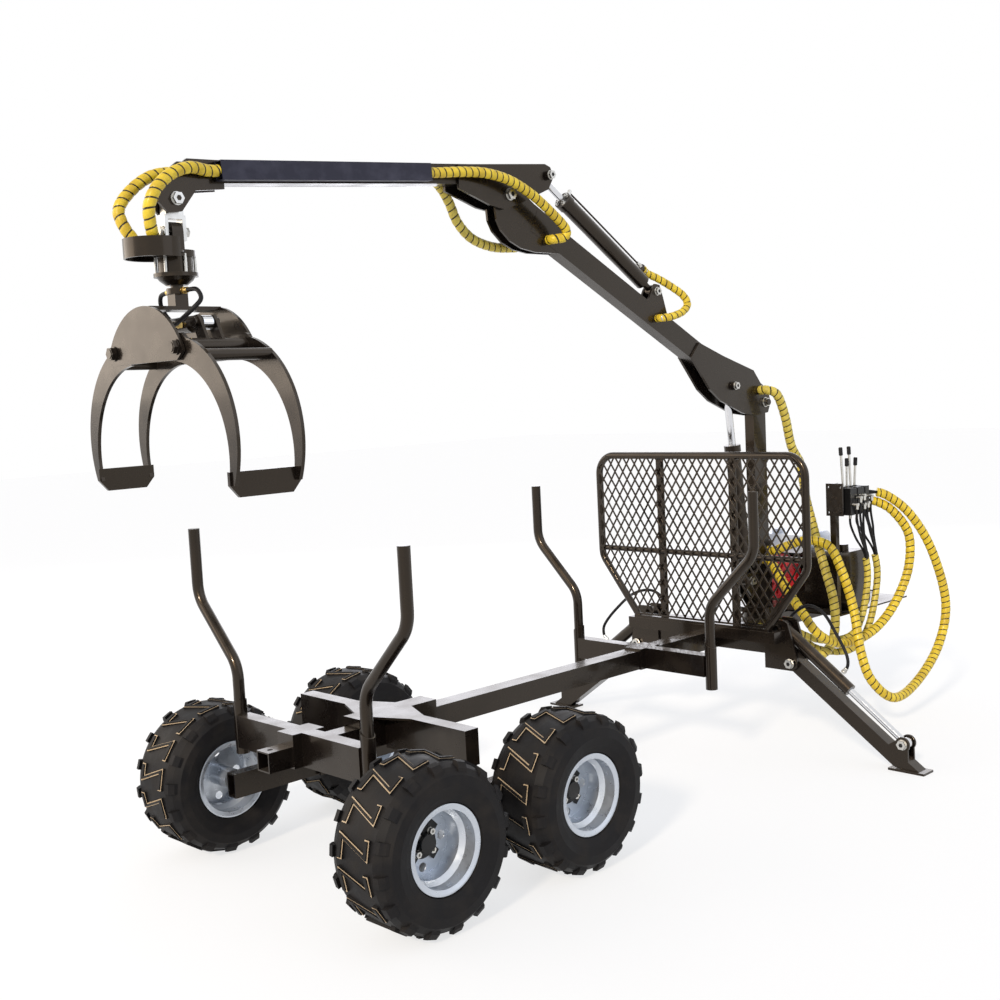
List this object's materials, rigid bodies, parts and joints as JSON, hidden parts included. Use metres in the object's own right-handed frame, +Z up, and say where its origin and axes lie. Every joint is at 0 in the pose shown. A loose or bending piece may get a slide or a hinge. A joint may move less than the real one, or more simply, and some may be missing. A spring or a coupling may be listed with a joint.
{
  "type": "log trailer with crane",
  "caption": "Walking-bogie log trailer with bent stakes, mesh headboard, folding outrigger legs, engine-driven hydraulics, and a slewing crane with jib, rotator and grapple.",
  "frame": {"origin": "on the ground under the middle of the length, on the centre line", "axes": "+X forward to the towing eye, +Y to the left, +Z up"},
  "size_m": [4.3126, 2.12, 2.5451],
  "materials": {
    "tyre": "matt black rubber",
    "silver_steel": "silver lacquered pressed steel",
    "chrome": "hard chromed rod",
    "zinc": "zinc plated",
    "red_paint": "gloss red",
    "tank_paint": "pale grey gloss",
    "black_rubber": "matt sheath",
    "yellow_wrap": "yellow spiral hose wrap",
    "black_paint": "satin black paint"
  },
  "bodies": {
    "trailer": {"main_beam": "black_paint", "rear_tube": "black_paint", "bogie_cross": "black_paint", "walking_beam_left": "black_paint", "walking_beam_right": "black_paint", "rear_bunk": "black_paint", "front_bunk": "black_paint", "rear_stakes": "black_paint", "front_stakes": "black_paint", "crane_base": "black_paint", "headboard_frame": "black_paint", "headboard_mesh": "black_paint", "drawbar": "black_paint", "engine_block": "black_paint", "engine_cover": "red_paint", "fuel_tank": "tank_paint", "hydraulic_tank": "black_paint", "valve_stand": "black_paint", "control_valve": "black_paint", "valve_levers": "zinc", "loop_hose_outer": "yellow_wrap", "loop_hose_inner": "yellow_wrap", "post_hose": "yellow_wrap", "valve_hoses": "yellow_wrap", "leg_hose_left": "black_rubber", "leg_hose_right": "black_rubber"},
    "wheel_rear_left": {"tyre_rear_left": "tyre", "wheel_rear_left": "silver_steel"},
    "wheel_rear_right": {"tyre_rear_right": "tyre", "wheel_rear_right": "silver_steel"},
    "wheel_front_left": {"tyre_front_left": "tyre", "wheel_front_left": "silver_steel"},
    "wheel_front_right": {"tyre_front_right": "tyre", "wheel_front_right": "silver_steel"},
    "leg_left": {"leg_left": "black_paint"},
    "leg_barrel_left": {"leg_barrel_left": "black_paint"},
    "leg_rod_left": {"leg_rod_left": "chrome"},
    "leg_right": {"leg_right": "black_paint"},
    "leg_barrel_right": {"leg_barrel_right": "black_paint"},
    "leg_rod_right": {"leg_rod_right": "chrome"},
    "crane_post": {"crane_post": "black_paint"},
    "lift_barrel": {"lift_barrel": "black_paint"},
    "lift_rod": {"lift_rod": "chrome"},
    "main_boom": {"main_boom": "black_paint", "boom_hose": "yellow_wrap", "elbow_hoses": "yellow_wrap", "jib_cylinder_hose": "yellow_wrap"},
    "jib_barrel": {"jib_barrel": "black_paint"},
    "jib_rod": {"jib_rod": "chrome"},
    "jib": {"jib": "black_paint", "hose_cover": "black_rubber"},
    "tip_link": {"tip_link": "zinc", "tip_hoses": "yellow_wrap"},
    "rotator": {"rotator": "black_paint"},
    "grapple": {"grapple_frame": "black_paint", "grapple_hoses": "black_rubber"},
    "tong_left": {"tong_left": "black_paint"},
    "tong_right": {"tong_right": "black_paint"},
    "grapple_barrel": {"grapple_barrel": "black_paint"},
    "grapple_rod": {"grapple_rod": "chrome"}
  },
  "joints": [
    {"name": "wheel_rear_left_spin", "type": "hinge", "parent": "trailer", "child": "wheel_rear_left", "pos_m": [-1.62574, 0.595, 0.2795], "axis": [0, 1, 0], "continuous": true},
    {"name": "wheel_rear_right_spin", "type": "hinge", "parent": "trailer", "child": "wheel_rear_right", "pos_m": [-1.62574, -0.595, 0.2795], "axis": [0, 1, 0], "continuous": true},
    {"name": "wheel_front_left_spin", "type": "hinge", "parent": "trailer", "child": "wheel_front_left", "pos_m": [-0.96174, 0.595, 0.2795], "axis": [0, 1, 0], "continuous": true},
    {"name": "wheel_front_right_spin", "type": "hinge", "parent": "trailer", "child": "wheel_front_right", "pos_m": [-0.96174, -0.595, 0.2795], "axis": [0, 1, 0], "continuous": true},
    {"name": "leg_left_fold", "type": "hinge", "parent": "trailer", "child": "leg_left", "pos_m": [0.71626, 0.438, 0.4], "axis": [1, 0, 0], "range_deg": [0, 60]},
    {"name": "leg_left_cylinder_swing", "type": "hinge", "parent": "trailer", "child": "leg_barrel_left", "pos_m": [0.71626, 0.378, 0.551], "axis": [1, 0, 0], "range_deg": [-2, 54.6], "deforming": ["leg_hose_left"]},
    {"name": "leg_left_rod_slide", "type": "slide", "parent": "leg_barrel_left", "child": "leg_rod_left", "axis": [0, 0.8003, -0.5996], "range_m": [-0.135, 0.005]},
    {"name": "leg_right_fold", "type": "hinge", "parent": "trailer", "child": "leg_right", "pos_m": [0.71626, -0.438, 0.4], "axis": [-1, 0, 0], "range_deg": [0, 60]},
    {"name": "leg_right_cylinder_swing", "type": "hinge", "parent": "trailer", "child": "leg_barrel_right", "pos_m": [0.71626, -0.378, 0.551], "axis": [-1, 0, 0], "range_deg": [-2, 54.6], "deforming": ["leg_hose_right"]},
    {"name": "leg_right_rod_slide", "type": "slide", "parent": "leg_barrel_right", "child": "leg_rod_right", "axis": [0, -0.8003, -0.5996], "range_m": [-0.135, 0.005]},
    {"name": "slew", "type": "hinge", "parent": "trailer", "child": "crane_post", "pos_m": [1.09326, 0, 0.547], "axis": [0, 0, 1], "range_deg": [-170, 170], "deforming": ["loop_hose_outer", "loop_hose_inner", "post_hose"]},
    {"name": "boom_lift", "type": "hinge", "parent": "crane_post", "child": "main_boom", "pos_m": [1.12026, 0, 1.548], "axis": [0, 1, 0], "range_deg": [-14, 42], "deforming": ["boom_hose"]},
    {"name": "lift_cylinder_swing", "type": "hinge", "parent": "crane_post", "child": "lift_barrel", "pos_m": [0.97626, 0, 0.7], "axis": [0, 1, 0], "range_deg": [-12, 12]},
    {"name": "lift_rod_slide", "type": "slide", "parent": "lift_barrel", "child": "lift_rod", "axis": [-0.117, 0, 0.9931], "range_m": [-0.056, 0.157]},
    {"name": "jib_fold", "type": "hinge", "parent": "main_boom", "child": "jib", "pos_m": [-0.55226, 0, 2.4131], "axis": [0, -1, 0], "range_deg": [-20, 75], "deforming": ["elbow_hoses"]},
    {"name": "jib_cylinder_swing", "type": "hinge", "parent": "main_boom", "child": "jib_barrel", "pos_m": [0.34371, 0, 2.06225], "axis": [0, -1, 0], "range_deg": [-20, 20], "deforming": ["jib_cylinder_hose"]},
    {"name": "jib_rod_slide", "type": "slide", "parent": "jib_barrel", "child": "jib_rod", "axis": [-0.8382, 0, 0.5454], "range_m": [-0.078, 0.279]},
    {"name": "link_swing", "type": "hinge", "parent": "jib", "child": "tip_link", "pos_m": [-1.99326, 0, 2.3031], "axis": [0, 1, 0], "range_deg": [-60, 100], "deforming": ["tip_hoses"]},
    {"name": "link_tilt", "type": "hinge", "parent": "tip_link", "child": "rotator", "pos_m": [-1.99326, 0, 2.2051], "axis": [1, 0, 0], "range_deg": [-35, 35], "deforming": ["tip_hoses"]},
    {"name": "rotator_spin", "type": "hinge", "parent": "rotator", "child": "grapple", "pos_m": [-1.99326, 0, 2.0551], "axis": [0, 0, 1], "continuous": true},
    {"name": "tong_close", "type": "hinge", "parent": "grapple", "child": "tong_left", "pos_m": [-1.99326, 0.19, 1.8401], "axis": [-1, 0, 0], "range_deg": [-12, 46], "deforming": ["grapple_hoses"]},
    {"name": "tong_right_close", "type": "hinge", "parent": "grapple", "child": "tong_right", "pos_m": [-1.99326, -0.19, 1.8401], "axis": [-1, 0, 0], "range_deg": [-47, 13]},
    {"name": "grapple_cylinder_swing", "type": "hinge", "parent": "tong_left", "child": "grapple_barrel", "pos_m": [-1.99326, 0.15, 1.9151], "axis": [-1, 0, 0], "range_deg": [-47, 13]},
    {"name": "grapple_rod_slide", "type": "slide", "parent": "grapple_barrel", "child": "grapple_rod", "axis": [0, -1, 0], "range_m": [-0.038, 0.133]}
  ],
  "couplings": [
    {"joint": "leg_left_cylinder_swing", "follows": "leg_left_fold", "ratio": 0.86076},
    {"joint": "leg_left_rod_slide", "follows": "leg_left_fold", "m_per_rad": -0.12439},
    {"joint": "leg_right_cylinder_swing", "follows": "leg_right_fold", "ratio": 0.86076},
    {"joint": "leg_right_rod_slide", "follows": "leg_right_fold", "m_per_rad": -0.12439},
    {"joint": "lift_cylinder_swing", "follows": "boom_lift", "ratio": 0.15609},
    {"joint": "lift_rod_slide", "follows": "boom_lift", "m_per_rad": 0.20796},
    {"joint": "jib_cylinder_swing", "follows": "jib_fold", "ratio": -0.03955},
    {"joint": "jib_rod_slide", "follows": "jib_fold", "m_per_rad": 0.20968},
    {"joint": "tong_right_close", "follows": "tong_close", "ratio": -1},
    {"joint": "grapple_cylinder_swing", "follows": "tong_close", "ratio": -1},
    {"joint": "grapple_rod_slide", "follows": "tong_close", "m_per_rad": 0.15983}
  ]
}
